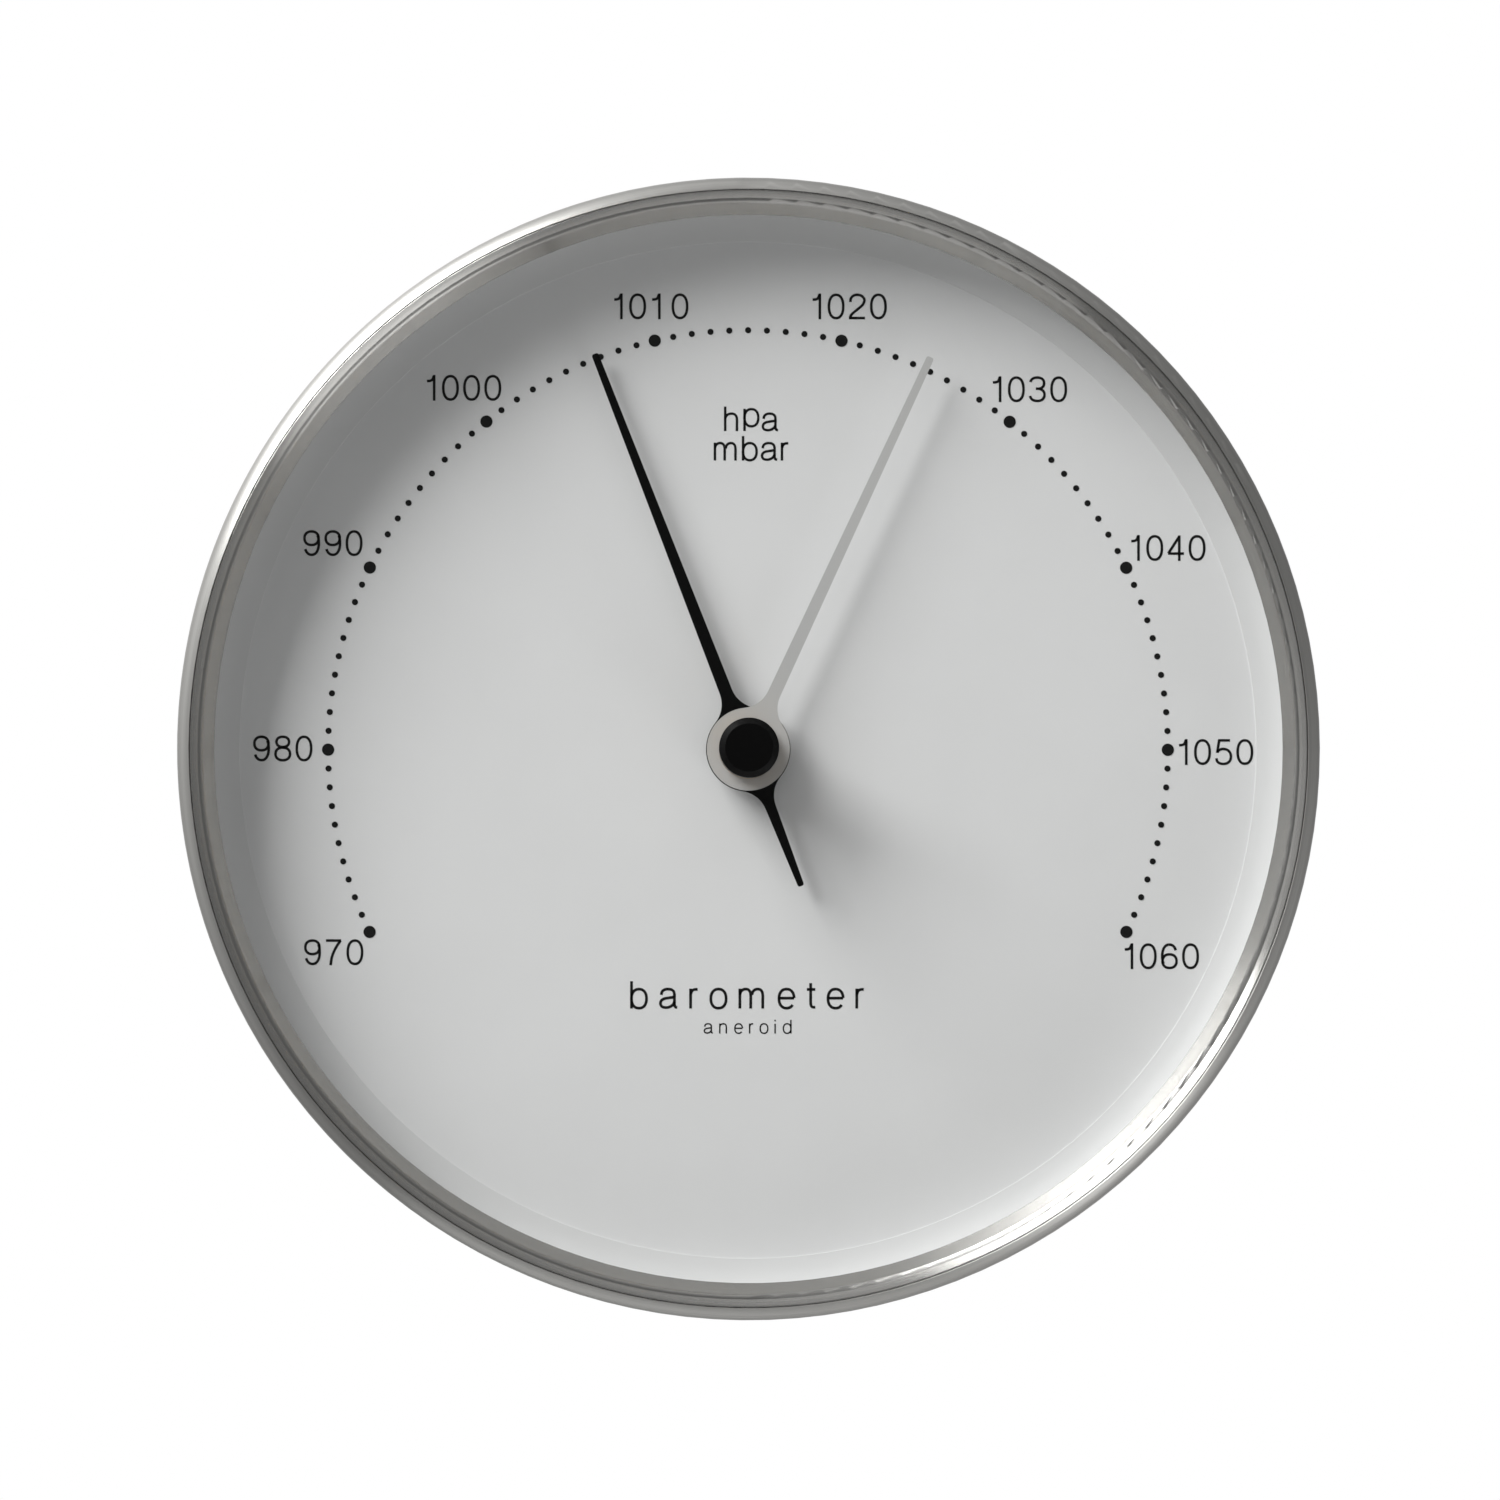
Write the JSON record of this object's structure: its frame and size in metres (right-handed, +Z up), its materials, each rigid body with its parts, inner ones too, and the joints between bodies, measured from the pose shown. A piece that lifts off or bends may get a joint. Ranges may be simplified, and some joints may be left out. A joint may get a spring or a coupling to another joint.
{
  "type": "aneroid barometer",
  "caption": "Round wall barometer: a steel drum case with a white dial, a pressure hand driven by an aneroid movement, and a set hand turned by a knob through the glass.",
  "frame": {"origin": "where the dial's axis meets the wall, at the middle of the flush rear cover", "axes": "+Z up; +Y into the wall, so the dial faces -Y; +X to the viewer's right"},
  "size_m": [0.1, 0.033, 0.1],
  "materials": {
    "brushed_steel_case": "brushed round the case",
    "brushed_steel_bezel": "brushed round the rim",
    "clear_glass": "clear, polished",
    "black_rubber": "matte",
    "white_ring": "satin white",
    "white_lacquer": "fine satin white lacquer",
    "black_ink": "printed ink",
    "black_lacquer": "satin black lacquer",
    "black_plastic": "fine grained",
    "black_knob": "satin",
    "grey_aluminium": "satin anodised",
    "nylon": "natural",
    "turned_brass": "turned",
    "plate_brass": "grained",
    "steel_screw": "turned, zinc plated",
    "turned_steel": "turned",
    "spring_steel": "tempered",
    "capsule_silver": "rolled, corrugated",
    "spring_bronze": "rolled"
  },
  "bodies": {
    "case": {"case_shell": "brushed_steel_case", "bezel_ring": "brushed_steel_bezel", "glass_lens": "clear_glass", "glass_gasket": "black_rubber", "spacer_ring": "white_ring", "dial_plate": "white_lacquer", "scale_dots": "black_ink", "holder_ring": "black_plastic", "rear_cover": "black_plastic", "rear_cover_screws": "steel_screw", "movement_screws": "steel_screw", "knob_bush": "turned_brass", "bush_nut": "turned_brass", "base_plate": "plate_brass", "train_pillars": "turned_brass", "train_plate": "plate_brass", "train_plate_screws": "steel_screw", "bridge_pillars": "turned_brass", "upper_bridge": "plate_brass", "upper_bridge_screws": "steel_screw", "pivot_bushes": "turned_brass", "spring_anchor": "plate_brass", "leaf_spring_screws": "steel_screw", "hairspring_stud": "turned_brass", "capsule_base": "turned_brass", "leaf_spring": "spring_steel", "capsule": "capsule_silver", "hairspring": "spring_bronze"},
    "set_hand_body": {"set_knob": "black_knob", "set_shaft": "turned_steel", "set_hand_boss": "turned_brass", "set_hand": "grey_aluminium", "friction_washer": "nylon"},
    "indicator_body": {"pointer_arbor": "turned_steel", "pointer_pinion": "turned_brass", "hairspring_collet": "turned_brass", "hand_collet": "turned_brass", "indicator_hand": "black_lacquer"},
    "sector_body": {"sector_gear": "plate_brass", "sector_arbor": "turned_steel", "sector_collar": "turned_brass"},
    "rocker_body": {"rocking_shaft": "turned_steel", "lift_arm": "plate_brass", "push_finger": "turned_steel"},
    "capsule_stud_body": {"capsule_stud": "turned_steel", "stud_nut": "turned_brass"},
    "adjuster_body": {"adjusting_screw": "turned_steel"}
  },
  "joints": [
    {"name": "set_hand_turn", "type": "hinge", "parent": "case", "child": "set_hand_body", "pos_m": [0, -0.0284, 0], "axis": [0, 1, 0], "continuous": true},
    {"name": "adjust_screw_turn", "type": "hinge", "parent": "case", "child": "adjuster_body", "pos_m": [0, -0.0026, -0.0081], "axis": [0, 1, 0], "range_deg": [-180, 180]},
    {"name": "capsule_stroke", "type": "slide", "parent": "case", "child": "capsule_stud_body", "axis": [0, 1, 0], "range_m": [-0.0003675, 0.0005324], "deforming": ["capsule", "leaf_spring"]},
    {"name": "rocker_tilt", "type": "hinge", "parent": "case", "child": "rocker_body", "pos_m": [0, -0.0131, -0.0121], "axis": [1, 0, 0], "range_deg": [-7.7, 5.3]},
    {"name": "sector_swing", "type": "hinge", "parent": "case", "child": "sector_body", "pos_m": [-0.01567, -0.0176, -0.01306], "axis": [0, 1, 0], "range_deg": [-8.6, 6]},
    {"name": "indicator_turn", "type": "hinge", "parent": "case", "child": "indicator_body", "pos_m": [0, -0.0204, 0], "axis": [0, 1, 0], "range_deg": [-95, 137.5], "stiffness_Nm_per_rad": 0.00045, "deforming": ["hairspring"]}
  ],
  "couplings": [
    {"joint": "rocker_tilt", "follows": "capsule_stroke", "rad_per_m": -250},
    {"joint": "sector_swing", "follows": "capsule_stroke", "rad_per_m": -280.5},
    {"joint": "indicator_turn", "follows": "capsule_stroke", "rad_per_m": 4488}
  ]
}
